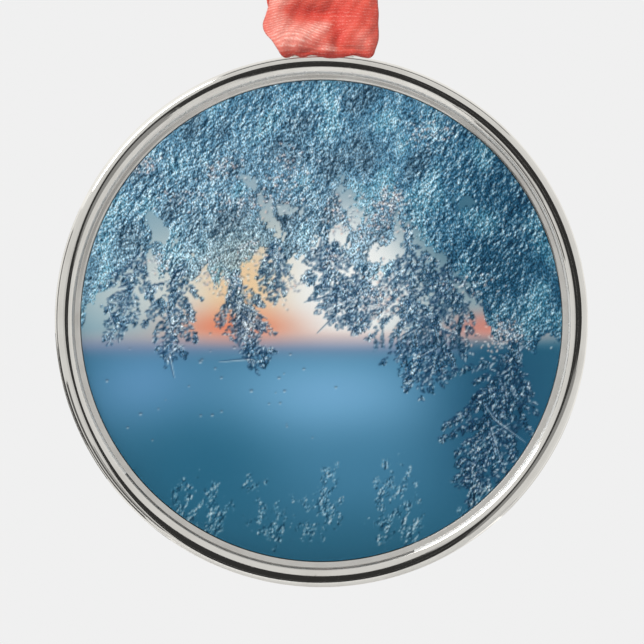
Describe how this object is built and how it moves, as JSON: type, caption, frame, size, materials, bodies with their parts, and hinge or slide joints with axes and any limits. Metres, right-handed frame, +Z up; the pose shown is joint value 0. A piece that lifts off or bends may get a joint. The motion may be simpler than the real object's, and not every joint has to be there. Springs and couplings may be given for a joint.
{
  "type": "hanging picture ornament",
  "caption": "Round silver-plated hanging ornament with a clear lens over a frosted-window picture, on a knotted satin ribbon loop.",
  "frame": {"origin": "the hang point, inside the top of the ribbon loop just under the knot, where a hook carries it", "axes": "+Z up along the hanging ribbon, -Y out of the picture's face, +X to the right of a person facing the picture"},
  "size_m": [0.0592, 0.012, 0.1621],
  "materials": {
    "silver_frame": "silver plate, mirror polished, fine handling marks",
    "silver_wire": "silver plate, polished wire",
    "clear_lens": "clear, polished, low dome",
    "picture": "printed picture of frost on a window over a dusk sky",
    "pad_board": "plain grey board",
    "silver_back": "silver plate, fine circular brushing",
    "ribbon_satin": "coral single-faced satin ribbon with fine cross ribs"
  },
  "bodies": {
    "ribbon_loop": {"ribbon_knot": "ribbon_satin", "ribbon_tail_front": "ribbon_satin", "ribbon_tail_back": "ribbon_satin", "ribbon_front_upper": "ribbon_satin", "ribbon_back_upper": "ribbon_satin"},
    "ribbon_lower": {"ribbon_front_lower": "ribbon_satin", "ribbon_back_lower": "ribbon_satin", "ribbon_bight": "ribbon_satin"},
    "medallion": {"bezel_frame": "silver_frame", "hanger_loop": "silver_wire", "clear_lens": "clear_lens", "print_disc": "picture", "backing_pad": "pad_board", "back_plate": "silver_back"}
  },
  "joints": [
    {"name": "ribbon_twist", "type": "hinge", "parent": "ribbon_loop", "child": "ribbon_lower", "pos_m": [0, 0, -0.035], "axis": [0, 0, 1], "range_deg": [-90, 90], "stiffness_Nm_per_rad": 0.00009},
    {"name": "medallion_swing", "type": "hinge", "parent": "ribbon_lower", "child": "medallion", "pos_m": [0, 0, -0.07495], "axis": [1, 0, 0], "range_deg": [-40, 40]}
  ]
}
